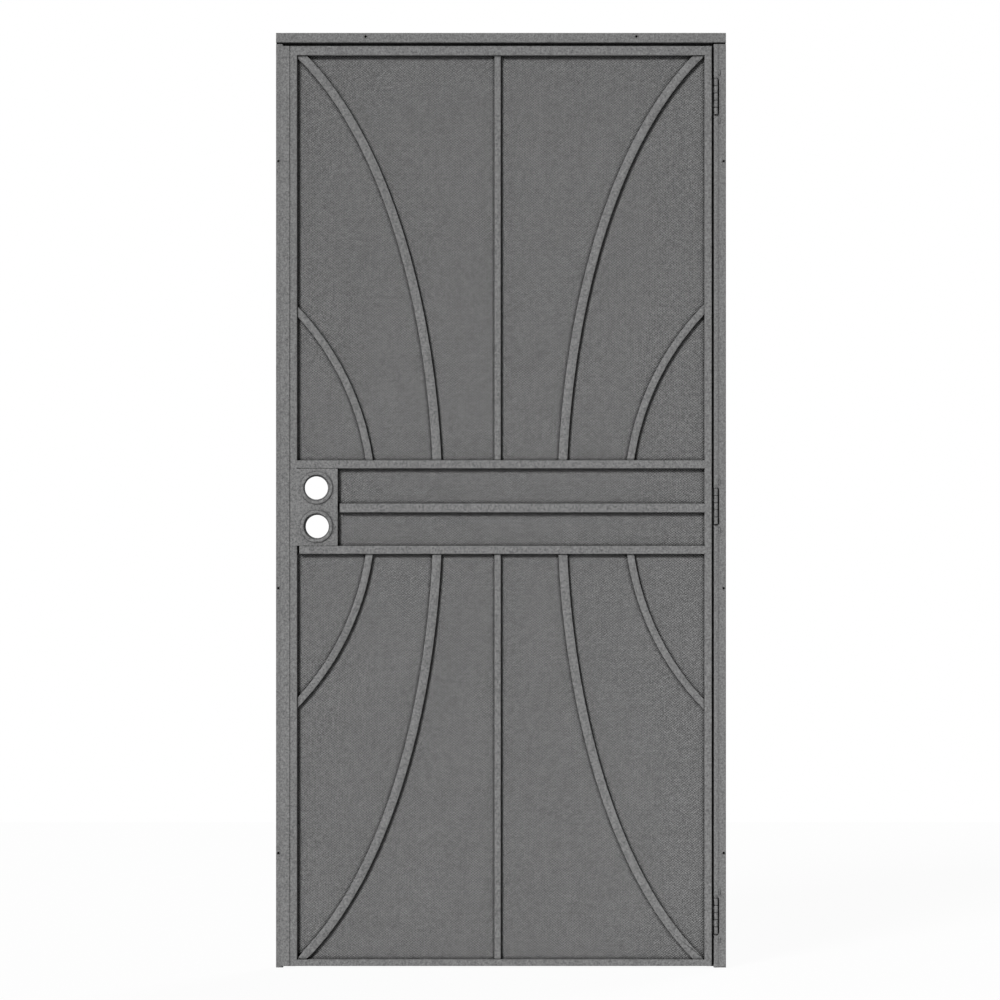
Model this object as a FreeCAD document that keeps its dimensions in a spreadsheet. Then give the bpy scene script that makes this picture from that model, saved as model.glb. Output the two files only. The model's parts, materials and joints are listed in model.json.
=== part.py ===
import FreeCAD, Part
import os
import re

# Steel security screen door in its wall frame, in millimetres.
# X runs to the right seen from outside, Y into the wall and Z up.
# The origin is on the wall face of the hinge jamb, at its foot, straight behind the hinge axis.

# Driving sizes: name, value and what it measures.
SIZES = [
    ("outside_width", 990.6, "frame over both side jambs"),
    ("outside_height", 2057.4, "frame from the floor to the top of the head jamb"),
    ("hinge_inset", 22.0, "hinge axis from the frame's right edge"),
    ("post_width", 15.4, "front face of the strike jamb"),
    ("head_height", 21.5, "front face of the head jamb"),
    ("stop_depth", 10.0, "stop leg, measured from the wall"),
    ("stop_overlap", 10.0, "reach of the stop leg behind the leaf"),
    ("stop_gap", 5.0, "stop leg to the back of the leaf"),
    ("leaf_depth", 31.75, "tubes of the leaf, front to back"),
    ("lip_thickness", 2.5, "flat strip at the lock side"),
    ("lip_corner", 1.0, "bevelled corner of that strip"),
    ("lip_gap", 5.0, "back of the lip to the face of the posts"),
    ("lip_overlap", 5.4, "lip over the face of the strike jamb"),
    ("latch_gap", 15.5, "strike jamb to the lock stile, behind the lip"),
    ("bead_left", 4.7, "left edge of the bead on the hinge jamb, from the hinge axis"),
    ("bead_width", 11.4, "low round bead on the hinge jamb"),
    ("bead_rise", 1.5, "bead above the face of the hinge jamb"),
    ("hinge_gap", 5.0, "bead to the hinge stile"),
    ("head_gap", 8.2, "head jamb to the top of the leaf"),
    ("seam_height", 2.0, "groove between the head jamb and the side jambs"),
    ("seam_depth", 12.0, "depth of that groove"),
    ("floor_gap", 4.0, "floor to the bottom of the leaf"),
    ("stile_width", 15.8, "upright tubes of the leaf"),
    ("top_rail_height", 20.4, "top tube of the leaf"),
    ("bottom_rail_height", 14.3, "bottom tube of the leaf"),
    ("tube_corner", 1.0, "bevelled corner of a tube"),
    ("mid_height", 1013.4, "centre line of the ornament above the floor"),
    ("mid_rail_spacing", 188.2, "between the centre lines of the two middle rails"),
    ("mid_rail_height", 17.8, "middle rails"),
    ("middle_bar_height", 19.4, "bar between the middle rails"),
    ("middle_bar_drop", 1.8, "centre line of that bar below the centre line of the ornament"),
    ("end_gap", 5.0, "open joint at the lock end of the middle bar and of the lower middle rail"),
    ("bar_setback", 4.5, "front of the bars behind the front of the leaf"),
    ("bar_depth", 11.0, "bars, front to back"),
    ("bar_corner", 0.8, "bevelled corner of a bar"),
    ("centre_bar_width", 13.7, "upright bars near the middle of the leaf"),
    ("centre_bar_shift", 7.0, "upright bars from the middle of the leaf, towards the lock"),
    ("ornament_shift", 2.0, "middle of the curved bars from the middle of the leaf, towards the lock"),
    ("large_bar_width", 19.5, "large curved bars"),
    ("large_half_width", 514.0, "half width of the ellipse along a large bar"),
    ("large_waist", 136.3, "large bar from the middle of the curved bars, where the two come closest"),
    ("small_bar_width", 15.5, "small curved bars"),
    ("small_radius", 601.0, "circle along a small bar"),
    ("small_setout", 434.2, "centre of that circle beyond the inner edge of the stile"),
    ("small_rise", 18.0, "centre of that circle from the ornament's centre line"),
    ("screen_thickness", 2.0, "expanded metal sheet"),
    ("lock_box_width", 89.0, "lock box from the lock stile"),
    ("lock_box_wall", 3.0, "plates of the lock box"),
    ("bore_radius", 27.0, "lock bores"),
    ("bore_spacing", 85.0, "between the two lock bores"),
    ("backset", 58.8, "lock bore from the outer edge of the lock stile"),
    ("collar_radius", 36.5, "outside of the collar round a lock bore"),
    ("collar_rise", 3.5, "collar above the face of the lock box"),
    ("collar_rim", 0.8, "upright rim at the foot of the collar"),
    ("collar_slope", 4.5, "sloping outside of the collar, across"),
    ("latch_radius", 12.7, "latch holes through the lock stile"),
    ("keeper_gap", 6.0, "strike keeper to the lock stile"),
    ("keeper_height", 168.0, "strike keeper"),
    ("keeper_slot_depth", 16.0, "latch slot in the keeper, front to back"),
    ("keeper_slot_height", 32.0, "latch slot in the keeper, upright"),
    ("lower_hinge_height", 113.4, "middle of the lower hinge above the floor"),
    ("upper_hinge_drop", 110.9, "middle of the upper hinge below the top of the leaf"),
    ("barrel_radius", 4.6, "hinge knuckles"),
    ("knuckle_pitch", 15.7, "from one knuckle to the next"),
    ("knuckle_gap", 1.0, "between two knuckles"),
    ("pin_radius", 2.4, "hinge pin"),
    ("pin_clearance", 0.05, "between the pin and a knuckle"),
    ("plate_thickness", 2.0, "flat leaves of a hinge"),
    ("plate_depth", 12.0, "flat leaf of a hinge on the hinge stile, front to back"),
    ("lug_width", 4.0, "neck between a knuckle and the flat leaf on the frame"),
    ("slot_clearance", 2.4, "beside a hinge in its slot in the bead"),
    ("slot_end", 3.1, "slot beyond the ends of a hinge"),
    ("screw_radius", 2.5, "screw holes in the frame"),
    ("screw_edge", 5.2, "screw holes from the outer edge of the side jambs"),
    ("lower_screw_height", 252.0, "lower screws above the floor"),
    ("middle_screw_height", 835.0, "middle screws above the floor"),
    ("upper_screw_drop", 282.4, "upper screws below the top of the frame"),
    ("head_screw_edge", 8.0, "head screws from the top edge"),
    ("head_screw_spacing", 596.0, "between the two head screws"),
    ("cut_margin", 2.0, "length by which a cutting shape runs past the metal"),
]

# Places worked out from those sizes. Depths along Y are negative, towards the outside.
PLACES = [
    ("frame_right", "hinge_inset"),
    ("frame_left", "hinge_inset - outside_width"),
    ("frame_middle", "hinge_inset - outside_width / 2"),
    ("leaf_back", "-stop_depth - stop_gap"),
    ("leaf_front", "leaf_back - leaf_depth"),
    ("latch_depth", "leaf_back - leaf_depth / 2"),
    ("post_front", "leaf_front + lip_thickness + lip_gap"),
    ("bar_front", "leaf_front + bar_setback"),
    ("screen_front", "bar_front + bar_depth"),
    ("mid_rail_depth", "screen_front - leaf_front"),
    ("strike_post_inner", "frame_left + post_width"),
    ("lip_outer", "strike_post_inner - lip_overlap"),
    ("lock_stile_outer", "strike_post_inner + latch_gap"),
    ("lock_stile_inner", "lock_stile_outer + stile_width"),
    ("bead_middle", "bead_width / 2 - bead_left"),
    ("bead_radius", "(bead_width ^ 2 / 4 + bead_rise ^ 2) / (2 * bead_rise)"),
    ("hinge_stile_outer", "-bead_left - hinge_gap"),
    ("hinge_stile_inner", "hinge_stile_outer - stile_width"),
    ("window_width", "hinge_stile_inner - lock_stile_inner"),
    ("window_middle", "(hinge_stile_inner + lock_stile_inner) / 2"),
    ("ornament_middle", "window_middle - ornament_shift"),
    ("centre_bar_left", "window_middle - centre_bar_shift - centre_bar_width / 2"),
    ("head_bottom", "outside_height - head_height"),
    ("leaf_top", "head_bottom - head_gap"),
    ("leaf_height", "leaf_top - floor_gap"),
    ("window_top", "leaf_top - top_rail_height"),
    ("window_bottom", "floor_gap + bottom_rail_height"),
    ("upper_rail_bottom", "mid_height + (mid_rail_spacing - mid_rail_height) / 2"),
    ("upper_rail_top", "upper_rail_bottom + mid_rail_height"),
    ("lower_rail_top", "mid_height - (mid_rail_spacing - mid_rail_height) / 2"),
    ("lower_rail_bottom", "lower_rail_top - mid_rail_height"),
    ("lock_box_right", "lock_stile_inner + lock_box_width"),
    ("lock_box_height", "upper_rail_bottom - lower_rail_top"),
    ("bore_across", "lock_stile_outer + backset"),
    ("upper_bore_height", "mid_height + bore_spacing / 2"),
    ("lower_bore_height", "mid_height - bore_spacing / 2"),
    ("large_offset", "large_waist + large_half_width"),
    ("large_corner", "(large_offset - window_width / 2 + large_bar_width / 2) / large_half_width"),
    ("upper_half_height", "(window_top - mid_height) / sqrt(1 - large_corner ^ 2)"),
    ("lower_half_height", "(mid_height - window_bottom) / sqrt(1 - large_corner ^ 2)"),
    ("small_offset", "window_width / 2 + small_setout"),
    ("upper_hinge_height", "leaf_top - upper_hinge_drop"),
    ("middle_hinge_height", "(lower_hinge_height + upper_hinge_height) / 2"),
    ("upper_screw_height", "outside_height - upper_screw_drop"),
    ("slot_radius", "barrel_radius + slot_clearance"),
    ("slot_floor", "post_front + slot_radius + plate_thickness"),
    ("neck_front", "post_front + (barrel_radius - plate_thickness) / 2"),
]

KNUCKLES = 5
ALONG_Y = FreeCAD.Rotation(FreeCAD.Vector(1, 0, 0), -90)
AGAINST_Y = FreeCAD.Rotation(FreeCAD.Vector(1, 0, 0), 90)
ALONG_X = FreeCAD.Rotation(FreeCAD.Vector(0, 1, 0), 90)
ALONG_Z = FreeCAD.Rotation()
# Turns a flat curve into the plane of the door, with its own X axis upright.
UPRIGHT = FreeCAD.Rotation(FreeCAD.Vector(1, 1, 1), 240)

doc = FreeCAD.newDocument("security_screen_door")
sheet = doc.addObject("Spreadsheet::Sheet", "Sizes")
for row, (name, value, meaning) in enumerate(SIZES, start=1):
    sheet.set(f"A{row}", meaning)
    sheet.set(f"B{row}", str(value))
    sheet.setAlias(f"B{row}", name)
for row, (name, formula) in enumerate(PLACES, start=1):
    sheet.set(f"D{row}", "=" + formula)
    sheet.setAlias(f"D{row}", name)
doc.recompute()

pieces = []


def bind(thing, setting, formula):
    """Drive one setting of an object by a formula of names in the sheet."""
    thing.setExpression(setting, re.sub(r"[a-z]\w*", r"Sizes.\g<0>", formula))


def place(thing, x, y, z):
    """Put an object's own origin at three formulas."""
    bind(thing, "Placement.Base.x", x)
    bind(thing, "Placement.Base.y", y)
    bind(thing, "Placement.Base.z", z)
    return thing


def box(name, corner, size):
    """A block from its lowest corner and its three sizes."""
    block = doc.addObject("Part::Box", name)
    for setting, formula in zip(("Length", "Width", "Height"), size):
        bind(block, setting, formula)
    return place(block, *corner)


def cylinder(name, start, radius, length, turn=ALONG_Z):
    """A round bar from the middle of its first end."""
    bar = doc.addObject("Part::Cylinder", name)
    bind(bar, "Radius", radius)
    bind(bar, "Height", length)
    bar.Placement.Rotation = turn
    return place(bar, *start)


def cone(name, start, radius, end_radius, length, turn):
    """A tapered bar from the middle of its first end."""
    bar = doc.addObject("Part::Cone", name)
    bind(bar, "Radius1", radius)
    bind(bar, "Radius2", end_radius)
    bind(bar, "Height", length)
    bar.Placement.Rotation = turn
    return place(bar, *start)


def fuse(name, shapes):
    """One shape from several that meet."""
    whole = doc.addObject("Part::MultiFuse", name)
    whole.Shapes = shapes
    return whole


def cut(name, base, tool):
    """A shape with another taken out of it."""
    rest = doc.addObject("Part::Cut", name)
    rest.Base = base
    rest.Tool = tool
    return rest


def common(name, base, tool):
    """What two shapes share."""
    shared = doc.addObject("Part::Common", name)
    shared.Base = base
    shared.Tool = tool
    return shared


def bevelled(name, base, width_name, wanted):
    """A shape whose wanted edges are bevelled by a size from the sheet."""
    doc.recompute()
    width = float(sheet.get(width_name))
    numbers = [i for i, edge in enumerate(base.Shape.Edges, start=1) if wanted(edge)]
    soft = doc.addObject("Part::Chamfer", name)
    soft.Base = base
    soft.Edges = [(number, width, width) for number in numbers]
    return soft


def runs_along(axis):
    """A test for straight edges parallel to an axis."""
    def test(edge):
        if not isinstance(edge.Curve, Part.Line):
            return False
        return abs(edge.Curve.Direction.dot(axis)) > 0.999
    return test


def keep(piece):
    """Note a finished piece of the door."""
    pieces.append(piece)
    return piece


def tube(name, corner, size, axis, bevel="tube_corner"):
    """A closed tube with bevelled corners along its length."""
    core = box(name + "_core", corner, size)
    return bevelled(name, core, bevel, runs_along(axis))


X_AXIS = FreeCAD.Vector(1, 0, 0)
Z_AXIS = FreeCAD.Vector(0, 0, 1)


# Frame
def screw_holes(name, spots):
    """Holes right through a jamb, at pairs of formulas across and up."""
    return fuse(name, [
        cylinder(f"{name}_{number}", (x, "post_front - cut_margin", z), "screw_radius",
                 "2 * cut_margin - post_front", ALONG_Y)
        for number, (x, z) in enumerate(spots, start=1)])


def jamb(name, post_corner, post_size, stop_corner, stop_size, axis):
    """A jamb: a post and the stop leg that the leaf closes on."""
    post = tube(name + "_post", post_corner, post_size, axis)
    stop = box(name + "_stop", stop_corner, stop_size)
    return fuse(name + "_section", [post, stop])


def top_seam(name, left, width):
    """The groove across the front of a side jamb, just below the head jamb."""
    front = "bead_rise + cut_margin"
    return box(name, (f"{left} - cut_margin", f"post_front - ({front})", "head_bottom - seam_height"),
               (f"{width} + 2 * cut_margin", f"seam_depth + {front}", "seam_height + cut_margin"))


SCREW_HEIGHTS = ("lower_screw_height", "middle_screw_height", "upper_screw_height")

head_section = jamb(
    "head", ("frame_left", "post_front", "head_bottom"), ("outside_width", "-post_front", "head_height"),
    ("strike_post_inner", "-stop_depth", "leaf_top - stop_overlap"),
    ("-bead_left - strike_post_inner", "stop_depth", "head_gap + stop_overlap"), X_AXIS)
head_screws = screw_holes("head_screws", [
    (f"frame_middle {sign} head_screw_spacing / 2", "outside_height - head_screw_edge") for sign in "-+"])
keep(cut("head_jamb", head_section, head_screws))

strike_section = jamb(
    "strike", ("frame_left", "post_front", "0"), ("post_width", "-post_front", "head_bottom"),
    ("strike_post_inner", "-stop_depth", "0"),
    ("latch_gap + stop_overlap", "stop_depth", "leaf_top - stop_overlap"), Z_AXIS)
strike_screws = screw_holes("strike_screws", [("frame_left + screw_edge", z) for z in SCREW_HEIGHTS])
strike_cuts = fuse("strike_cuts", [strike_screws, top_seam("strike_seam", "frame_left", "post_width")])
keep(cut("strike_jamb", strike_section, strike_cuts))

keeper_block = box(
    "keeper_block", ("strike_post_inner", "post_front", "mid_height - keeper_height / 2"),
    ("latch_gap - keeper_gap", "-post_front - stop_depth", "keeper_height"))
keeper_slots = fuse("keeper_slots", [
    box(f"keeper_slot_{name}",
        ("strike_post_inner - cut_margin", "latch_depth - keeper_slot_depth / 2",
         f"{name}_bore_height - keeper_slot_height / 2"),
        ("latch_gap + 2 * cut_margin", "keeper_slot_depth", "keeper_slot_height"))
    for name in ("lower", "upper")])
keep(cut("strike_keeper", keeper_block, keeper_slots))

HINGES = ("lower", "middle", "upper")


def hinge_bottom(name):
    """Formula for the bottom of a hinge's knuckles."""
    return f"{name}_hinge_height - {KNUCKLES} * knuckle_pitch / 2"


def hinge_slot(name):
    """The round-ended slot in the bead that a hinge sits in."""
    bottom = f"{hinge_bottom(name)} - slot_end + slot_radius"
    straight = f"{KNUCKLES} * knuckle_pitch + 2 * slot_end - 2 * slot_radius"
    depth = "slot_floor - post_front + slot_radius"
    front = "post_front - slot_radius"
    return [
        box(name + "_slot", ("-slot_radius", front, bottom),
            ("2 * slot_radius", depth, straight)),
        cylinder(name + "_slot_foot", ("0", front, bottom), "slot_radius", depth, ALONG_Y),
        cylinder(name + "_slot_top", ("0", front, f"{bottom} + {straight}"), "slot_radius", depth, ALONG_Y),
    ]


hinge_section = jamb(
    "hinge", ("-bead_left", "post_front", "0"), ("hinge_inset + bead_left", "-post_front", "head_bottom"),
    ("hinge_stile_outer - stop_overlap", "-stop_depth", "0"),
    ("hinge_gap + stop_overlap", "stop_depth", "leaf_top - stop_overlap"), Z_AXIS)
bead_round = cylinder("bead_round", ("bead_middle", "post_front - bead_rise + bead_radius", "0"),
                      "bead_radius", "head_bottom")
bead_strip = box("bead_strip", ("-bead_left", "post_front - 2 * bead_rise", "0"),
                 ("bead_width", "2 * bead_rise + 2 * tube_corner", "head_bottom"))
beaded_section = fuse("beaded_section", [hinge_section, common("bead", bead_round, bead_strip)])
hinge_screws = screw_holes("hinge_screws", [("frame_right - screw_edge", z) for z in SCREW_HEIGHTS])
hinge_seam = top_seam("hinge_seam", "-bead_left", "hinge_inset + bead_left")
hinge_cuts = fuse("hinge_cuts", [hinge_screws, hinge_seam]
                  + [shape for name in HINGES for shape in hinge_slot(name)])
keep(cut("hinge_jamb", beaded_section, hinge_cuts))


# Hinges
def knuckles(name, numbers):
    """Some of a hinge's knuckles, as round bars on its axis."""
    return [
        cylinder(f"{name}_knuckle_{number}",
                 ("0", "post_front", f"{hinge_bottom(name)} + {number} * knuckle_pitch + knuckle_gap / 2"),
                 "barrel_radius", "knuckle_pitch - knuckle_gap")
        for number in numbers]


def necks(name, numbers, corner, size):
    """The necks that tie knuckles to a flat leaf, from a corner and a size across."""
    return [
        box(f"{name}_neck_{number}",
            (*corner, f"{hinge_bottom(name)} + {number} * knuckle_pitch + knuckle_gap / 2"),
            (*size, "knuckle_pitch - knuckle_gap"))
        for number in numbers]


def hinge_half(label, name, numbers, neck_corner, neck_size, plate_corner, plate_size):
    """The metal of one half of a hinge: a flat leaf, some knuckles and the necks between them."""
    plate = box(label + "_plate", (*plate_corner, hinge_bottom(name)),
                (*plate_size, f"{KNUCKLES} * knuckle_pitch"))
    return knuckles(name, numbers) + [plate] + necks(name, numbers, neck_corner, neck_size)


def hinge(name):
    """A five-knuckle hinge: a frame leaf with the pin fixed in it and a door leaf that turns on the pin."""
    label = f"{name}_hinge_frame_leaf"
    frame_half = hinge_half(
        label, name, range(0, KNUCKLES, 2), ("-lug_width / 2", "post_front"),
        ("lug_width", "slot_floor - post_front"), ("-bead_left", "slot_floor - plate_thickness"),
        ("2 * bead_left", "plate_thickness"))
    pin = cylinder(name + "_pin", ("0", "post_front", f"{hinge_bottom(name)} + knuckle_pitch / 2"),
                   "pin_radius", f"{KNUCKLES - 1} * knuckle_pitch")
    keep(fuse(label, frame_half + [pin]))
    label = f"{name}_hinge_door_leaf"
    door_half = hinge_half(
        label, name, range(1, KNUCKLES, 2), ("hinge_stile_outer", "neck_front"),
        ("-hinge_stile_outer", "plate_thickness"), ("hinge_stile_outer", "neck_front"),
        ("plate_thickness", "plate_depth"))
    bore = cylinder(name + "_pin_bore", ("0", "post_front", hinge_bottom(name)), "pin_radius + pin_clearance",
                    f"{KNUCKLES} * knuckle_pitch")
    keep(cut(label, fuse(label + "_solid", door_half), bore))


for hinge_name in HINGES:
    hinge(hinge_name)


# Leaf frame
def latch_holes(name):
    """The two latch holes through the lock stile into the lock box."""
    return fuse(name, [
        cylinder(f"{name}_{which}", ("lock_stile_outer - cut_margin", "latch_depth", f"{which}_bore_height"),
                 "latch_radius", "stile_width + lock_box_wall + 2 * cut_margin", ALONG_X)
        for which in ("lower", "upper")])


lock_tube = tube("lock_tube", ("lock_stile_outer", "leaf_front", "floor_gap"),
                 ("stile_width", "leaf_depth", "leaf_height"), Z_AXIS)
keep(cut("lock_stile", lock_tube, latch_holes("stile_latch_holes")))
keep(tube("hinge_stile", ("hinge_stile_inner", "leaf_front", "floor_gap"),
          ("stile_width", "leaf_depth", "leaf_height"), Z_AXIS))
keep(tube("latch_lip", ("lip_outer", "leaf_front", "floor_gap"),
          ("lock_stile_outer - lip_outer", "lip_thickness", "leaf_height"), Z_AXIS, "lip_corner"))

RAILS = [
    ("top_rail", "0", "window_top", "leaf_depth", "top_rail_height"),
    ("bottom_rail", "0", "floor_gap", "leaf_depth", "bottom_rail_height"),
    ("upper_mid_rail", "0", "upper_rail_bottom", "mid_rail_depth", "mid_rail_height"),
    ("lower_mid_rail", "end_gap", "lower_rail_bottom", "mid_rail_depth", "mid_rail_height"),
]
for rail_name, rail_gap, rail_bottom, rail_depth, rail_height in RAILS:
    keep(tube(rail_name, (f"lock_stile_inner + {rail_gap}", "leaf_front", rail_bottom),
              (f"window_width - {rail_gap}", rail_depth, rail_height), X_AXIS))


# Ornament bars, between the frame tubes and in front of the screens
PANELS = {
    "upper": ("upper_rail_top", "window_top - upper_rail_top"),
    "lower": ("window_bottom", "lower_rail_bottom - window_bottom"),
}


def ellipse_disc(name, x, half_width, half_height):
    """A thick oval plate at the depth of the bars."""
    curve = doc.addObject("Part::Ellipse", name + "_curve")
    bind(curve, "MajorRadius", half_height)
    bind(curve, "MinorRadius", half_width)
    curve.Placement.Rotation = UPRIGHT
    place(curve, x, "bar_front", "mid_height")
    disc = doc.addObject("Part::Extrusion", name)
    disc.Base = curve
    disc.DirMode = "Custom"
    disc.Dir = FreeCAD.Vector(0, 1, 0)
    bind(disc, "LengthFwd", "bar_depth")
    disc.Solid = True
    return disc


def panel_window(name, panel):
    """The space of a panel that its bars are trimmed to."""
    bottom, height = PANELS[panel]
    return box(name, ("lock_stile_inner", "bar_front - cut_margin", bottom),
               ("window_width", "bar_depth + 2 * cut_margin", height))


def large_bar(panel, side, sign):
    """A large curved bar: a stretch of an oval ring."""
    name = f"{panel}_{side}_large_bar"
    x = f"ornament_middle {sign} large_offset"
    outer = ellipse_disc(name + "_outer", x, "large_half_width + large_bar_width / 2",
                         f"{panel}_half_height + large_bar_width / 2")
    inner = ellipse_disc(name + "_inner", x, "large_half_width - large_bar_width / 2",
                         f"{panel}_half_height - large_bar_width / 2")
    keep(common(name, cut(name + "_ring", outer, inner), panel_window(name + "_window", panel)))


def small_bar(panel, rise, side, sign):
    """A small curved bar: a stretch of a round ring."""
    name = f"{panel}_{side}_small_bar"
    start = (f"ornament_middle {sign} small_offset", "bar_front", f"mid_height {rise} small_rise")
    outer = cylinder(name + "_outer", start, "small_radius + small_bar_width / 2", "bar_depth", ALONG_Y)
    inner = cylinder(name + "_inner", start, "small_radius - small_bar_width / 2", "bar_depth", ALONG_Y)
    keep(common(name, cut(name + "_ring", outer, inner), panel_window(name + "_window", panel)))


for panel_name, panel_rise in (("upper", "+"), ("lower", "-")):
    for side_name, side_sign in (("left", "-"), ("right", "+")):
        large_bar(panel_name, side_name, side_sign)
        small_bar(panel_name, panel_rise, side_name, side_sign)
    panel_bottom, panel_height = PANELS[panel_name]
    keep(tube(f"{panel_name}_centre_bar",
              ("centre_bar_left", "bar_front", panel_bottom),
              ("centre_bar_width", "bar_depth", panel_height), Z_AXIS, "bar_corner"))

keep(tube("middle_bar",
          ("lock_box_right + end_gap", "leaf_front", "mid_height - middle_bar_drop - middle_bar_height / 2"),
          ("hinge_stile_inner - lock_box_right - end_gap", "mid_rail_depth", "middle_bar_height"),
          X_AXIS, "bar_corner"))

# Screens, behind the bars and the middle rails
SCREENS = [
    ("upper_screen", "lock_stile_inner", "upper_rail_bottom", "window_top"),
    ("middle_screen", "lock_box_right", "lower_rail_top", "upper_rail_bottom"),
    ("lower_screen", "lock_stile_inner", "window_bottom", "lower_rail_top"),
]
for screen_name, screen_left, screen_bottom, screen_top in SCREENS:
    keep(box(screen_name, (screen_left, "screen_front", screen_bottom),
             (f"hinge_stile_inner - {screen_left}", "screen_thickness", f"{screen_top} - {screen_bottom}")))


# Lock box
def lock_bore(which):
    """A lock bore through both plates of the lock box."""
    return cylinder(which + "_bore", ("bore_across", "leaf_front - cut_margin", f"{which}_bore_height"),
                    "bore_radius", "leaf_depth + 2 * cut_margin", ALONG_Y)


def collar(which):
    """A raised ring round the outer end of a lock bore, sloping down to an upright rim."""
    name = which + "_collar"
    height = f"{which}_bore_height"
    foot = ("bore_across", "leaf_front", height)
    shoulder = ("bore_across", "leaf_front - collar_rim", height)
    outside = fuse(name + "_outside", [
        cylinder(name + "_rim", foot, "collar_radius", "collar_rim", AGAINST_Y),
        cone(name + "_slope", shoulder, "collar_radius", "collar_radius - collar_slope",
             "collar_rise - collar_rim", AGAINST_Y)])
    keep(cut(name, outside, cylinder(name + "_bore", foot, "bore_radius", "collar_rise", AGAINST_Y)))


box_block = box("lock_box_block", ("lock_stile_inner", "leaf_front", "lower_rail_top"),
                ("lock_box_width", "leaf_depth", "lock_box_height"))
box_hollow = box("lock_box_hollow",
                 ("lock_stile_inner + lock_box_wall", "leaf_front + lock_box_wall",
                  "lower_rail_top + lock_box_wall"),
                 ("lock_box_width - 2 * lock_box_wall", "leaf_depth - 2 * lock_box_wall",
                  "lock_box_height - 2 * lock_box_wall"))
box_cuts = fuse("lock_box_cuts", [box_hollow, latch_holes("box_latch_holes"),
                                  lock_bore("lower"), lock_bore("upper")])
keep(cut("lock_box", box_block, box_cuts))
for bore_name in ("lower", "upper"):
    collar(bore_name)

doc.recompute()

# Every object has to be sound before anything is written.
for thing in doc.Objects:
    if "Invalid" in thing.State or "Error" in thing.State:
        raise RuntimeError(f"{thing.Label} failed: {thing.State}")
for piece in pieces:
    if piece.Shape.isNull() or not piece.Shape.isValid():
        raise RuntimeError(f"{piece.Label} has no valid shape")
    print(piece.Label, len(piece.Shape.Solids), round(piece.Shape.Volume))

os.makedirs("parts", exist_ok=True)
for piece in pieces:
    piece.Shape.exportStep(f"parts/{piece.Label}.step")
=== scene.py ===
import json
import math

import bmesh
import bpy
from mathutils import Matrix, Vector


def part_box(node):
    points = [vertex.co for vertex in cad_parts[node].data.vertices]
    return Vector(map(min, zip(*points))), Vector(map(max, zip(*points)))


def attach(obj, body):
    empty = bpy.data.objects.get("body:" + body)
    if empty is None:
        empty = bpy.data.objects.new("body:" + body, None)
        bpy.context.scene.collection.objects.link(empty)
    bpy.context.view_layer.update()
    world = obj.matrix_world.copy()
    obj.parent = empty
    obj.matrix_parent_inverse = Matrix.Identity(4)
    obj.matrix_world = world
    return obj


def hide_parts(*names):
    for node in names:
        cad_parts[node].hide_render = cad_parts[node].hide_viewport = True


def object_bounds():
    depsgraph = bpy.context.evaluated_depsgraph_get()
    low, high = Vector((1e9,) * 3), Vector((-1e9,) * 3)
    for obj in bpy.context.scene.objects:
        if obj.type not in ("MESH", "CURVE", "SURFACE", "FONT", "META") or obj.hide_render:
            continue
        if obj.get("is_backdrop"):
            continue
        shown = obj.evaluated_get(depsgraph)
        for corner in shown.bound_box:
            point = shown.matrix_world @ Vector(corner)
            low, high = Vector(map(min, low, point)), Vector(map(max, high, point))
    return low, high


# %% [markdown]
# A steel security screen door, dressed for a studio picture.
# The solids of the door come in as a fixed frame, in metres: X to the right, Y into the wall, Z up.
# They could all be modelled again here, but the sizes are settled, so only finishes and fine detail
# are added.

# %% Load the solids
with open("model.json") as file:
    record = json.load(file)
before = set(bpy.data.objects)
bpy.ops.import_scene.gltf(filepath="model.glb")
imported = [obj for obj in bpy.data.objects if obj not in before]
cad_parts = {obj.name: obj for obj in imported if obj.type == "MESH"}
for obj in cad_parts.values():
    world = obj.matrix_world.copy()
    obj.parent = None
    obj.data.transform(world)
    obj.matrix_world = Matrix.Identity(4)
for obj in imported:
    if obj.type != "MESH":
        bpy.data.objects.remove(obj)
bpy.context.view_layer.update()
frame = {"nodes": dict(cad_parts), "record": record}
nodes = frame["nodes"]
bpy.ops.object.select_all(action="DESELECT")
bpy.context.scene.view_settings.view_transform = "Standard"
MM = 0.001

# %% [markdown]
# The picture was taken straight from the front and from far away, level with the middle of the door: the
# hole at the back of each lock bore hardly moves against the one in front. An orthographic camera would hide
# the inner sides of the tubes altogether, so a perspective camera with a long lens stands 10 m away.

# %% Camera
PICTURE_WIDTH = 2.2013
PICTURE_MIDDLE = (-0.4755, 1.0291)
DISTANCE = 10.0
PICTURE_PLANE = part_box("strike_jamb")[0].y
SENSOR = 36.0
middle_x, middle_z = PICTURE_MIDDLE
bpy.ops.object.camera_add(location=(middle_x, PICTURE_PLANE - DISTANCE, middle_z),
                          rotation=(math.pi / 2, 0, 0))
camera = bpy.context.object
camera.name = "front_camera"
camera.data.sensor_width = SENSOR
camera.data.lens = SENSOR * DISTANCE / PICTURE_WIDTH
bpy.context.scene.camera = camera
print("lens:", round(camera.data.lens, 2), "mm")

# %% [markdown]
# One large lamp stands high on the left of the camera, so shadows fall to the right and below the bars.
# Their width against the depth of the bars gives the lamp's direction, and their soft rims its angle.
# A sun lamp with a wide disc does that evenly over two metres, where an area lamp would fade across the door.
# A weaker lamp behind the door shows its back in the other views and doesn't reach the front.

# %% Lamps
SHADOW_ACROSS = 0.51
SHADOW_DOWN = 0.60
BACK_LAMP = (0.5, 1.0, 0.6)
LAMP_DISTANCE = 5


def lamp(name, towards, energy, angle):
    """A distant lamp: the direction it stands in, its strength and how wide its disc is."""
    turn = Vector(towards).to_track_quat("Z", "Y").to_euler()
    bpy.ops.object.light_add(type="SUN", location=LAMP_DISTANCE * Vector(towards), rotation=turn)
    bpy.context.object.name = name
    bpy.context.object.data.energy = energy
    bpy.context.object.data.angle = math.radians(angle)
    print(name, "towards", [round(v, 3) for v in Vector(towards).normalized()])


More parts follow.
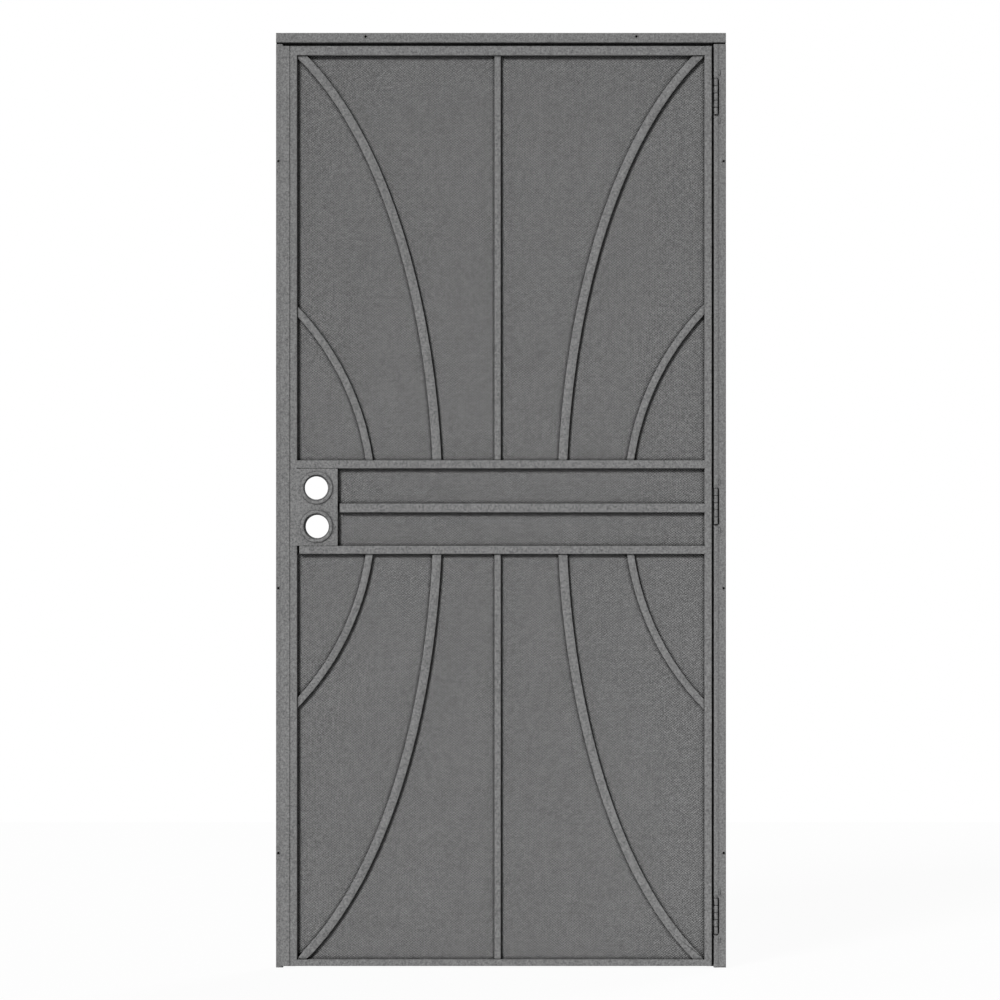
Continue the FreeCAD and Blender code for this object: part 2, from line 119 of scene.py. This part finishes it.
lamp("key_lamp", (-SHADOW_ACROSS, -1.0, SHADOW_DOWN), energy=3.4, angle=15)
lamp("back_lamp", BACK_LAMP, energy=2.0, angle=20)

# %% [markdown]
# Shader maths reads best as sums, so a small class wraps a socket: adding or multiplying two of them
# places the Math node. Everything else goes through one method that adds any node by its type.


# %% Sums of sockets
class Value:
    """A number that varies over a surface."""

    def __init__(self, finish, socket):
        self.finish = finish
        self.socket = socket

    def maths(self, operation, first, second):
        return self.finish.add("ShaderNodeMath", {"operation": operation}, {0: first, 1: second})

    def __add__(self, other):
        return self.maths("ADD", self, other)

    def __radd__(self, other):
        return self.maths("ADD", other, self)

    def __sub__(self, other):
        return self.maths("SUBTRACT", self, other)

    def __rsub__(self, other):
        return self.maths("SUBTRACT", other, self)

    def __mul__(self, other):
        return self.maths("MULTIPLY", self, other)

    def __rmul__(self, other):
        return self.maths("MULTIPLY", other, self)

    def __pow__(self, other):
        return self.maths("POWER", self, other)

    def or_more(self, other):
        """The larger of two numbers."""
        return self.maths("MAXIMUM", self, other)


class Finish:
    """A material, or the world, in the making."""

    def __init__(self, owner):
        owner.use_nodes = True
        self.owner = owner
        self.tree = owner.node_tree
        self.shader = self.tree.nodes.get("Principled BSDF")

    def feed(self, socket, value):
        """Set a socket, or link it."""
        if isinstance(value, Value):
            self.tree.links.new(value.socket, socket)
        else:
            socket.default_value = value

    def add(self, kind, settings, inputs, output=0):
        """Any node: its type, its settings and what its sockets get."""
        node = self.tree.nodes.new(kind)
        for setting, choice in settings.items():
            setattr(node, setting, choice)
        for socket, value in inputs.items():
            self.feed(node.inputs[socket], value)
        return Value(self, node.outputs[output])

    def place(self):
        """Where a point lies on the door, in metres."""
        return self.add("ShaderNodeTexCoord", {}, {}, "Object")

    def noise(self, size, detail, roughness=0.5):
        """Soft grain whose lumps are about so many metres across."""
        return self.add("ShaderNodeTexNoise", {"noise_dimensions": "3D"},
                        {"Vector": self.place(), "Scale": 1 / size, "Detail": detail, "Roughness": roughness},
                        "Fac")

    def openness(self, reach):
        """One on open faces, falling in corners that lie within a reach of other metal."""
        return self.add("ShaderNodeAmbientOcclusion", {"samples": 2}, {"Distance": reach}, "AO")

    def grey(self, level):
        """A neutral colour from a number."""
        return self.add("ShaderNodeCombineColor", {}, {0: level, 1: level, 2: level})

    def bump(self, height, strength, distance):
        """A surface normal from a height."""
        return self.add("ShaderNodeBump", {},
                        {"Strength": strength, "Distance": distance, "Height": height}, "Normal")

    def background_rays(self):
        """One for rays that see the background: from the camera, mirrored or through glass."""
        camera_rays, glossy_rays, glass_rays = (
            self.add("ShaderNodeLightPath", {}, {}, f"Is {kind} Ray")
            for kind in ("Camera", "Glossy", "Transmission"))
        return camera_rays.or_more(glossy_rays).or_more(glass_rays)

    def blend(self, share, first, second, output):
        """Mix two shaders by a share of the second, and send them to the output node."""
        mixed = self.add("ShaderNodeMixShader", {}, {0: share, 1: first, 2: second})
        self.tree.links.new(mixed.socket, self.tree.nodes[output].inputs["Surface"])

    def set(self, **sockets):
        """Give the shader its values, by socket names with underscores for spaces."""
        for name, value in sockets.items():
            self.feed(self.shader.inputs[name.replace("_", " ")], value)
        return self.owner


print("socket sums ready")

# %% [markdown]
# All the steel wears one grey powder coat. Baked powder never levels quite flat: it keeps an orange-peel
# ripple of one to three millimetres and a speckle where grains of two greys melted side by side.
# A picture of paint could show that from one side only, so three sizes of noise carry it all round:
# cloudy shade over decimetres, speckle over millimetres, and the ripple as bump.
# The base colour is also darkened in inner corners and along every bar's foot by an occlusion factor: painted
# shade.


# %% Grey powder coat
CLOUD_SIZE = 120 * MM
CLOUD_SHARE = 0.10
FINE_GRAIN = 1.5 * MM
FINE_SHARE = 0.5
PEEL_HEIGHT = 0.3 * MM
PAINT_ROUGHNESS = 0.55
ROUGHNESS_SPREAD = 0.2
PAINT_SHINE = 0.12


def powder_coat(name, level, speckle, grain, ripple, reach, corner_shade_power):
    """Textured powder coat: its grey, how strong and wide its specks are, and how strongly painted shade
    darkens its corners.
    """
    finish = Finish(bpy.data.materials.new(name))
    clouds = finish.noise(CLOUD_SIZE, detail=2.0)
    specks = finish.noise(grain, detail=2.0, roughness=0.6)
    fine = finish.noise(FINE_GRAIN, detail=1.0)
    # Painted shade: the occlusion factor, raised to a power, darkens the base colour in corners and along
    # every bar's foot.
    painted_corner_shade = finish.openness(reach) ** corner_shade_power
    mottle = CLOUD_SHARE * (clouds - 0.5) + speckle * (specks - 0.5) + FINE_SHARE * speckle * (fine - 0.5)
    shade = level * painted_corner_shade * (1 + mottle)
    relief = specks + FINE_SHARE * fine
    return finish.set(
        Base_Color=finish.grey(shade),
        Roughness=PAINT_ROUGHNESS + ROUGHNESS_SPREAD * (specks - 0.5),
        Specular_IOR_Level=PAINT_SHINE,
        Normal=finish.bump(relief, ripple, PEEL_HEIGHT))


steel_paint = powder_coat("grey_powder_coat", level=0.170, speckle=1.8, grain=4.0 * MM, ripple=0.35,
                          reach=6 * MM, corner_shade_power=2.2)
strand_paint = powder_coat("grey_powder_coat_on_strands", level=0.252, speckle=1.4, grain=5.0 * MM,
                           ripple=0.25, reach=8 * MM, corner_shade_power=2.4)
backing_paint = powder_coat("dark_screen_backing", level=0.104, speckle=1.4, grain=5.0 * MM, ripple=0.2,
                            reach=8 * MM, corner_shade_power=2.4)

for name, node in nodes.items():
    node.data.materials.clear()
    node.data.materials.append(backing_paint if name.endswith("_screen") else steel_paint)
print("painted solids:", len(nodes))

# %% [markdown]
# The next pieces are modelled as by hand. A few small helpers do what the mouse does: take hold of some
# pieces, pick edges by a rule, copy a solid, repeat or join pieces, and hand the finished piece to the part
# that carries it.


# %% Helpers for modelling
MERGE = 0.01 * MM


def take(*pieces):
    """Select these pieces and nothing else; the last is active."""
    if bpy.context.object and bpy.context.object.mode != "OBJECT":
        bpy.ops.object.mode_set(mode="OBJECT")
    bpy.ops.object.select_all(action="DESELECT")
    for piece in pieces:
        piece.select_set(True)
        bpy.context.view_layer.objects.active = piece


def pick(rule):
    """In edit mode, select the edges that fit a rule, and say how many."""
    bpy.ops.mesh.select_mode(type="EDGE")
    bpy.ops.mesh.select_all(action="DESELECT")
    mesh = bmesh.from_edit_mesh(bpy.context.object.data)
    chosen = [edge for edge in mesh.edges if rule(edge)]
    for edge in chosen:
        edge.select_set(True)
    mesh.select_flush_mode()
    bmesh.update_edit_mesh(bpy.context.object.data)
    return len(chosen)


def settle(piece, paint, body):
    """Bake the piece's place into its mesh, paint it and let it ride on a body."""
    take(piece)
    bpy.ops.object.transform_apply(location=True, rotation=True, scale=True)
    piece.data.materials.clear()
    piece.data.materials.append(paint)
    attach(piece, body)
    return piece


def copy_of(name, ending, flatness=0.4):
    """A free copy of a solid in edit mode, without its tags, its triangles joined where they are flat
    within some degrees."""
    piece = nodes[name].copy()
    piece.data = nodes[name].data.copy()
    piece.name = name + ending
    bpy.context.collection.objects.link(piece)
    for key in list(piece.keys()):
        del piece[key]
    piece.parent = None
    take(piece)
    bpy.ops.mesh.customdata_custom_splitnormals_clear()
    bpy.ops.object.mode_set(mode="EDIT")
    bpy.ops.mesh.select_all(action="SELECT")
    bpy.ops.mesh.remove_doubles(threshold=MERGE)
    bpy.ops.mesh.dissolve_limited(angle_limit=math.radians(flatness))
    return piece


def apply_modifiers(piece):
    """Turn all modifiers of a piece into its mesh."""
    take(piece)
    for modifier in list(piece.modifiers):
        bpy.ops.object.modifier_apply(modifier=modifier.name)


def repeat(piece, step, count):
    """Repeat a piece in a row, each time a step further."""
    row = piece.modifiers.new("row", "ARRAY")
    row.use_relative_offset = False
    row.use_constant_offset = True
    row.constant_offset_displace = step
    row.count = count
    apply_modifiers(piece)
    return piece


def join(name, pieces):
    """Make one piece of several."""
    take(*pieces)
    bpy.ops.object.join()
    bpy.context.object.name = name
    return bpy.context.object


print("helpers ready")

# %% [markdown]
# The curved bars are square tube rolled to a curve, so their long edges are round and catch a line of light.
# The solids have sharp edges there. A swept curve would have to find the arc again, so each bar is a copy
# of its solid: the loose triangles are merged, flat faces joined, and the long edges bevelled.
# The ends that stand in a corner of the leaf are ground round, most of all at the upper right and the
# lower left, and the other ends stay square.

# %% Curved bars with rolled edges
BAR_EDGE = 0.9 * MM
TIP_PLAIN = 3.0 * MM
TIP_ROUND = {"upper_right_large_bar": 6.2 * MM, "lower_left_large_bar": 6.2 * MM}
TIP_REACH = 24 * MM
TOUCH = 0.03 * MM
window_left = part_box("lock_stile")[1].x
window_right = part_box("hinge_stile")[0].x
window_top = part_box("top_rail")[0].z
window_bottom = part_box("bottom_rail")[1].z
panel_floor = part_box("upper_mid_rail")[1].z
panel_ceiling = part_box("lower_mid_rail")[0].z


def on_a_seat(point):
    """True where a bar meets the frame."""
    across = min(abs(point.x - window_left), abs(point.x - window_right))
    upright = min(abs(point.z - level) for level in (window_top, window_bottom, panel_floor, panel_ceiling))
    return min(across, upright) < TOUCH


def long_edge(edge):
    """True for an edge between the front or back of a bar and one of its sides."""
    if len(edge.link_faces) != 2 or all(on_a_seat(v.co) for v in edge.verts):
        return False
    flat = sorted(abs(face.normal.y) for face in edge.link_faces)
    return flat[0] < 0.1 and flat[1] > 0.9


def tip_edge(edge):
    """True for an edge from front to back at the end of a bar that stands in a corner."""
    first, second = (v.co for v in edge.verts)
    if math.hypot(first.x - second.x, first.z - second.z) > TOUCH or abs(first.y - second.y) < TOUCH:
        return False
    across = min(abs(first.x - window_left), abs(first.x - window_right))
    upright = min(abs(first.z - window_top), abs(first.z - window_bottom))
    return max(across, upright) < TIP_REACH


def rolled_bar(name):
    """A copy of a bar's solid with rounded long edges."""
    bar = copy_of(name, "_rolled")
    if pick(tip_edge):
        bpy.ops.mesh.bevel(offset=TIP_ROUND.get(name, TIP_PLAIN), segments=4, affect="EDGES")
    count = pick(long_edge)
    bpy.ops.mesh.bevel(offset=BAR_EDGE, segments=3, affect="EDGES")
    bpy.ops.object.mode_set(mode="OBJECT")
    bpy.ops.object.shade_smooth_by_angle(angle=math.radians(35))
    settle(bar, steel_paint, "leaf")
    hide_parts(name)
    return count


for name in sorted(nodes):
    if name.endswith("_large_bar") or name.endswith("_small_bar"):
        print(name, "edges rolled:", rolled_bar(name))

# %% [markdown]
# The head jamb is a piece of its own, and a dark seam stays open between it and the side jambs.
# The solids have a groove there that is too narrow. Each side jamb is copied and a block is taken out of its
# upper end, not through the whole depth, so that the jamb still holds the head at the back.

# %% Side jambs with a seam under the head
NOTCH_HIGH = 3.2 * MM
NOTCH_DEEP = 14 * MM
BLOCK_WIDE = 60 * MM
BLOCK_AHEAD = 4 * MM


def seamed_jamb(name, right):
    """A copy of a side jamb with a notch across the front of its upper end."""
    jamb = copy_of(name, "_seamed", flatness=0.01)
    bpy.ops.object.mode_set(mode="OBJECT")
    low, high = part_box(name)
    front, outside = low.y, high.x if right else low.x
    size = Vector((BLOCK_WIDE, NOTCH_DEEP + BLOCK_AHEAD, 2 * NOTCH_HIGH))
    bpy.ops.mesh.primitive_cube_add(size=1, location=(outside, front - BLOCK_AHEAD + size.y / 2, high.z))
    block = bpy.context.object
    bpy.ops.object.mode_set(mode="EDIT")
    bpy.ops.transform.resize(value=size)
    bpy.ops.object.mode_set(mode="OBJECT")
    notch = jamb.modifiers.new("notch", "BOOLEAN")
    notch.operation = "DIFFERENCE"
    notch.object = block
    apply_modifiers(jamb)
    bpy.ops.object.shade_smooth_by_angle(angle=math.radians(20))
    bpy.data.objects.remove(block)
    settle(jamb, steel_paint, "frame")
    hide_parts(name)
    return len(jamb.data.polygons)


for name, right in (("strike_jamb", False), ("hinge_jamb", True)):
    print(name, "faces with the seam:", seamed_jamb(name, right))

# %% [markdown]
# The screens are fine expanded metal: a sheet slit and pulled, so its strands cross in small diamonds,
# about 7 mm wide and 5.6 mm high. A bump map would look flat from the side and a true pulled sheet is
# far too heavy, so each slope of the diamonds is one long thin bar, repeated by an array and trimmed.
# The bar is cut into short lengths, because a picture of long slanting faces takes far longer to work out.

# %% Strands of the screens
DIAMOND_WIDE = 7.0 * MM
DIAMOND_HIGH = 5.6 * MM
STRAND_WIDE = 2.2 * MM
STRAND_PROUD = 0.6 * MM
STRAND_LENGTH = 40 * MM


def strands(name, lean):
    """All the strands of one screen that lean one way, before trimming."""
    low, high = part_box(name)
    width, height = high.x - low.x, high.z - low.z
    run = height * DIAMOND_WIDE / DIAMOND_HIGH
    count = math.ceil((width + run) / DIAMOND_WIDE) + 1
    length = math.hypot(run, height) + 4 * DIAMOND_WIDE
    middle = Vector((low.x - run / 2, (low.y + high.y) / 2, (low.z + high.z) / 2))
    turn = lean * math.atan2(DIAMOND_WIDE, DIAMOND_HIGH)
    bpy.ops.mesh.primitive_cylinder_add(vertices=6, radius=STRAND_WIDE / math.sqrt(3), depth=length,
                                        location=middle, rotation=(0, turn, 0))
    strand = bpy.context.object
    bpy.ops.object.mode_set(mode="EDIT")
    bpy.ops.mesh.select_all(action="SELECT")
    depth = high.y - low.y + 2 * STRAND_PROUD
    bpy.ops.transform.resize(value=(1, depth / (2 * STRAND_WIDE / math.sqrt(3)), 1))
    pick(lambda edge: edge.calc_length() > length / 2)
    bpy.ops.mesh.subdivide(number_cuts=round(length / STRAND_LENGTH) - 1)
    bpy.ops.object.mode_set(mode="OBJECT")
    bpy.ops.object.transform_apply(location=True, rotation=True, scale=True)
    return repeat(strand, (DIAMOND_WIDE, 0, 0), count)


def screen_of_strands(name):
    """Both slopes of strands, trimmed to one screen."""
    low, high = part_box(name)
    net = join(name + "_strands", [strands(name, 1), strands(name, -1)])
    bpy.ops.object.mode_set(mode="EDIT")
    for point, normal in ((low, (-1, 0, 0)), (high, (1, 0, 0)), (low, (0, 0, -1)), (high, (0, 0, 1))):
        bpy.ops.mesh.select_all(action="SELECT")
        bpy.ops.mesh.bisect(plane_co=point, plane_no=normal, use_fill=True, clear_outer=True)
    bpy.ops.object.mode_set(mode="OBJECT")
    settle(net, strand_paint, "leaf")
    return len(net.data.polygons)


for name in ("upper_screen", "middle_screen", "lower_screen"):
    print(name, "strand faces:", screen_of_strands(name))

# %% [markdown]
# The lock box is a folded box, so its front has soft upper and lower edges, and a fine dark line stays
# between it and the rails. Its solid has sharp edges there: a copy gets them bevelled.

# %% Lock box with folded edges
FOLD = 1.1 * MM
box_low, box_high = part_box("lock_box")


def fold_edge(edge):
    """True for the upper and lower edge of the front."""
    front = all(abs(v.co.y - box_low.y) < TOUCH for v in edge.verts)
    level = all(abs(v.co.z - box_low.z) < TOUCH for v in edge.verts) or all(
        abs(v.co.z - box_high.z) < TOUCH for v in edge.verts)
    return front and level


lock_box = copy_of("lock_box", "_folded")
folds = pick(fold_edge)
bpy.ops.mesh.bevel(offset=FOLD, segments=2, affect="EDGES")
bpy.ops.object.mode_set(mode="OBJECT")
bpy.ops.object.shade_smooth_by_angle(angle=math.radians(35))
settle(lock_box, steel_paint, "leaf")
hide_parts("lock_box")
print("folded edges:", folds)

# %% [markdown]
# Where the rails and the lock box meet the stiles, the welds are ground flush and painted over,
# so the fronts run on without a seam. The tubes' bevelled corners leave a groove there in the solids.
# A small block fills each groove, with its ends bevelled like the tube that it belongs to.

# %% Ground welds
GROOVE = 1.0 * MM
WELD_BEVEL = 0.98 * GROOVE
leaf_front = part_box("lock_stile")[0].y


def ground_weld(name, low_x, low_z, high_z):
    """A block flush with the front, bevelled at its upper and lower end."""
    size = Vector((GROOVE, GROOVE, high_z - low_z))
    middle = Vector((low_x, leaf_front, low_z)) + size / 2
    bpy.ops.mesh.primitive_cube_add(size=1, location=middle)
    weld = bpy.context.object
    weld.name = name
    bpy.ops.object.mode_set(mode="EDIT")
    bpy.ops.transform.resize(value=size)

    def front_end(edge):
        heights = {round(v.co.z, 5) for v in edge.verts}
        return len(heights) == 1 and all(v.co.y < 0 for v in edge.verts)
    pick(front_end)
    bpy.ops.mesh.bevel(offset=WELD_BEVEL, segments=1, affect="EDGES")
    bpy.ops.object.mode_set(mode="OBJECT")
    return weld


seats = [("lock_box", window_left - GROOVE)]
for rail in ("top_rail", "bottom_rail", "upper_mid_rail"):
    seats.append((rail, window_left - GROOVE))
for rail in ("top_rail", "bottom_rail", "upper_mid_rail", "lower_mid_rail", "middle_bar"):
    seats.append((rail, window_right))
welds = [ground_weld(f"weld_{index}", x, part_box(node)[0].z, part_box(node)[1].z)
         for index, (node, x) in enumerate(seats)]
settle(join("ground_welds", welds), steel_paint, "leaf")
print("ground welds:", len(seats))

# %% [markdown]
# A pressed ring stands round each lock bore. Its outside is steep and round at the top, and its opening is a
# little wider than the bore behind it, so the ring throws a dark crescent on the step between the two.
# The solids have a plain slope there. A lathe shape like this could be spun from a profile; here a circle
# is extruded inwards step by step, each step a little smaller and higher, which keeps the profile readable.


# %% Rings built in steps
RING_SIDES = 72


def stepped_ring(name, centre, profile):
    """A ring facing outwards from pairs of radius and rise, in millimetres, from the outside in."""
    first_radius, first_rise = profile[0]
    bpy.ops.mesh.primitive_circle_add(vertices=RING_SIDES, radius=first_radius * MM, fill_type="NOTHING",
                                      location=centre, rotation=(math.pi / 2, 0, 0))
    ring = bpy.context.object
    ring.name = name
    bpy.ops.object.transform_apply(location=False, rotation=True, scale=True)
    bpy.ops.object.mode_set(mode="EDIT")
    bpy.ops.mesh.select_all(action="SELECT")
    bpy.ops.transform.translate(value=(0, -first_rise * MM, 0))
    for (radius, rise), (next_radius, next_rise) in zip(profile, profile[1:]):
        bpy.ops.mesh.extrude_edges_move()
        shrink = next_radius / radius
        bpy.ops.transform.resize(value=(shrink, 1, shrink))
        bpy.ops.transform.translate(value=(0, (rise - next_rise) * MM, 0))
    bpy.ops.mesh.select_all(action="SELECT")
    bpy.ops.mesh.remove_doubles(threshold=TOUCH)
    bpy.ops.mesh.normals_make_consistent(inside=False)
    bpy.ops.object.mode_set(mode="OBJECT")
    bpy.ops.object.shade_smooth_by_angle(angle=math.radians(40))
    return ring


COLLAR_PROFILE = [(36.5, 0), (36.4, 0.3), (35.2, 2.5), (34.3, 3.2), (33.2, 3.5), (30.2, 3.5), (29.2, 3.3),
                  (28.6, 2.7), (28.6, 0), (36.5, 0)]
for which in ("upper", "lower"):
    low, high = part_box(which + "_collar")
    centre = Vector(((low.x + high.x) / 2, high.y, (low.z + high.z) / 2))
    collar = stepped_ring(which + "_collar_pressed", centre, COLLAR_PROFILE)
    settle(collar, steel_paint, "leaf")
    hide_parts(which + "_collar")
    print(collar.name, "faces:", len(collar.data.polygons))

# %% [markdown]
# Through each bore the edge of the hole in the back plate shows. Its rim is turned inwards, and the two
# holes don't sit quite in line. That rim is one more stepped ring, set just inside the back plate.

# %% Rims of the bores in the back plate
BACK_RIM_PROFILE = [(29.0, 0), (28.6, 0.6), (25.8, 0.6), (25.4, 0.3), (25.4, -0.5), (29.0, -0.5), (29.0, 0)]
BACK_PLATE = 3 * MM
BACK_RIM_DROP = 0.2 * MM
BACK_RIM_SHIFT = {"upper": -1.6 * MM, "lower": 0.3 * MM}
back_rims = []
for which in ("upper", "lower"):
    low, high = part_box(which + "_collar")
    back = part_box("lock_box")[1].y - BACK_PLATE
    centre = Vector(((low.x + high.x) / 2 + BACK_RIM_SHIFT[which], back,
                     (low.z + high.z) / 2 - BACK_RIM_DROP))
    back_rims.append(stepped_ring(which + "_back_rim", centre, BACK_RIM_PROFILE))
settle(join("bore_back_rims", back_rims), steel_paint, "leaf")
print("back rims:", len(back_rims))

# %% [markdown]
# Each wall screw sits in a dimple whose punched rim stands a little above the jamb.
# It is the same kind of ring, small, with its inner wall just inside the hole. The jambs are hollow tubes,
# so the hole looks dark; the solids are filled and drilled right through, so the ring ends in a floor that
# stands for the inside of the tube's back.

# %% Rims of the screw dimples
DIMPLE_PROFILE = [(4.3, 0), (4.0, 0.4), (3.4, 0.6), (2.8, 0.4), (2.5, -0.2), (2.5, -14.0), (0.01, -14.0)]
record = frame["record"]
post_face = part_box("strike_jamb")[0].y
spots = []
for mount in record["mounts"]:
    if mount["kind"] == "bolt_pattern":
        x, _, z = mount["pos_m"]
        half_x = mount["dims"]["spacing_x_mm"] * MM / 2
        half_z = mount["dims"].get("spacing_y_mm", 0) * MM / 2
        rises = (-1, 1) if half_z else (0,)
        spots += [(x + side * half_x, z + rise * half_z) for side in (-1, 1) for rise in rises]
rims = [stepped_ring(f"dimple_{index}", Vector((x, post_face, z)), DIMPLE_PROFILE)
        for index, (x, z) in enumerate(spots)]
settle(join("screw_dimple_rims", rims), steel_paint, "frame")
print("screw dimples:", len(spots))

# %% [markdown]
# The five knuckles of a hinge are rolled sheet, and their ends are broken a little, which gives the dark
# lines across the barrel. The solids have sharp ends. Each hinge leaf is copied and the round edges are
# bevelled, apart from the two outer ends of the barrel, which get domes later.

# %% Hinge leaves with broken knuckle ends
KNUCKLE_EDGE = 0.8 * MM
BARREL_END = 6 * MM
HINGES = ("lower", "middle", "upper")
hinge_axis = record["behaviour"]["joints"][0]["pos_m"][1]


def broken_knuckles(name, body):
    """A copy of a hinge leaf with the inner ends of its knuckles bevelled."""
    low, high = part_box(name)
    radius = hinge_axis - low.y

    def knuckle_end(edge):
        first, second = (v.co for v in edge.verts)
        if abs(first.z - second.z) > TOUCH:
            return False
        if body == "frame" and min(first.z - low.z, high.z - first.z) < BARREL_END:
            return False
        return all(abs(math.hypot(v.x, v.y - hinge_axis) - radius) < TOUCH for v in (first, second))
    leaf = copy_of(name, "_broken", flatness=0.01)
    count = pick(knuckle_end)
    bpy.ops.mesh.bevel(offset=KNUCKLE_EDGE, segments=2, affect="EDGES")
    bpy.ops.object.mode_set(mode="OBJECT")
    bpy.ops.object.shade_smooth_by_angle(angle=math.radians(30))
    settle(leaf, steel_paint, body)
    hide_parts(name)
    return count


for which in HINGES:
    print(which, "hinge, knuckle edges:", broken_knuckles(which + "_hinge_frame_leaf", "frame"),
          broken_knuckles(which + "_hinge_door_leaf", "leaf"))

# %% [markdown]
# The hinge barrels end in domes. A dome is half a ball pressed flat, higher at the top than at the foot.

# %% Domes of the hinge barrels
UPPER_DOME = 2.2 * MM
LOWER_DOME = 1.2 * MM
DOME_SINK = 0.5 * MM


def barrel_dome(radius, level, up, height):
    """Half a flattened ball on one end of a hinge barrel."""
    bpy.ops.mesh.primitive_uv_sphere_add(segments=32, ring_count=16, radius=radius,
                                         location=(0, hinge_axis, level))
    dome = bpy.context.object
    bpy.ops.object.mode_set(mode="EDIT")
    bpy.ops.mesh.select_all(action="SELECT")
    bpy.ops.mesh.bisect(plane_co=(0, hinge_axis, level), plane_no=(0, 0, up), use_fill=True, clear_inner=True)
    bpy.ops.mesh.select_all(action="SELECT")
    bpy.ops.transform.resize(value=(1, 1, height / radius))
    bpy.ops.object.mode_set(mode="OBJECT")
    bpy.ops.object.shade_smooth_by_angle(angle=math.radians(40))
    return dome


domes = []
for name in HINGES:
    low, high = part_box(name + "_hinge_frame_leaf")
    radius = hinge_axis - low.y
    domes.append(barrel_dome(radius, high.z - DOME_SINK, 1, UPPER_DOME))
    domes.append(barrel_dome(radius, low.z + DOME_SINK, -1, LOWER_DOME))
settle(join("hinge_barrel_domes", domes), steel_paint, "frame")
print("barrel domes:", len(domes))

# %% [markdown]
# Short welds hold the bead to the jamb above and below each hinge. A weld is a row of drops that run into
# each other.

# %% Welds beside the hinges
WELD_DROP = 2.1 * MM
WELD_FLATTENING = 0.9
WELD_STEP = 2.2 * MM
WELD_DROPS = 5
WELD_OFFSET = 53 * MM
WELD_ACROSS = 7.4 * MM


def weld_run(level):
    """A short upright row of weld drops at the edge of the bead."""
    first_level = level - (WELD_DROPS - 1) / 2 * WELD_STEP
    bpy.ops.mesh.primitive_uv_sphere_add(segments=14, ring_count=8, radius=WELD_DROP,
                                         location=(WELD_ACROSS, post_face, first_level))
    run = bpy.context.object
    bpy.ops.object.mode_set(mode="EDIT")
    bpy.ops.mesh.select_all(action="SELECT")
    bpy.ops.transform.resize(value=(1, WELD_FLATTENING, 1))
    bpy.ops.object.mode_set(mode="OBJECT")
    repeat(run, (0, 0, WELD_STEP), WELD_DROPS)
    bpy.ops.object.shade_smooth()
    return run


runs = []
for name in HINGES:
    low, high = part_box(name + "_hinge_frame_leaf")
    middle = (low.z + high.z) / 2
    runs += [weld_run(middle + WELD_OFFSET), weld_run(middle - WELD_OFFSET)]
settle(join("bead_welds", runs), steel_paint, "frame")
print("weld runs:", len(runs))

# %% [markdown]
# The background is white with no edge between floor and wall. Lamps bright enough to bleach a floor would
# bleach the door too, so the world is white only to the camera and in reflections, and dim to all else.

# %% World
WORLD_FILL = 0.06
world = bpy.data.worlds.new("white_studio")
studio = Finish(world)
bpy.context.scene.world = world
fill = studio.add("ShaderNodeBackground", {}, {"Color": (1, 1, 1, 1), "Strength": WORLD_FILL})
white = studio.add("ShaderNodeBackground", {}, {"Color": (1, 1, 1, 1), "Strength": 1.0})
studio.blend(studio.background_rays(), fill, white, "World Output")
print("world fill:", WORLD_FILL)

# %% [markdown]
# A pale floor carries the door's shadow. To the camera it glows almost as white as the world, so that the two
# meet with hardly a line, and the shadow stays as a faint grey.

# %% Floor
FLOOR_GLOW = 0.95
FLOOR_SIDE = 9.0
FLOOR_MIDDLE = -0.475
FLOOR_DROP = 2 * MM
bpy.ops.mesh.primitive_plane_add(size=1, location=(FLOOR_MIDDLE, 0, -FLOOR_DROP))
floor = bpy.context.object
floor.name = "floor"
bpy.ops.object.mode_set(mode="EDIT")
bpy.ops.transform.resize(value=(FLOOR_SIDE, FLOOR_SIDE, 1))
bpy.ops.object.mode_set(mode="OBJECT")
bpy.ops.object.transform_apply(location=True, rotation=True, scale=True)
floor_finish = Finish(bpy.data.materials.new("pale_floor"))
floor_finish.set(Base_Color=(0.8, 0.8, 0.8, 1), Roughness=0.9, Specular_IOR_Level=0.0)
glow = floor_finish.add("ShaderNodeEmission", {}, {"Color": (1, 1, 1, 1), "Strength": 1.0})
matt = Value(floor_finish, floor_finish.shader.outputs["BSDF"])
floor_finish.blend(FLOOR_GLOW * floor_finish.background_rays(), matt, glow, "Material Output")
floor.data.materials.append(floor_finish.owner)
floor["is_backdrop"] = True
print("floor at", floor.data.vertices[0].co.z)

# %% [markdown]
# Last, the bounds of the dressed door are measured.

# %% Size
low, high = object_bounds()
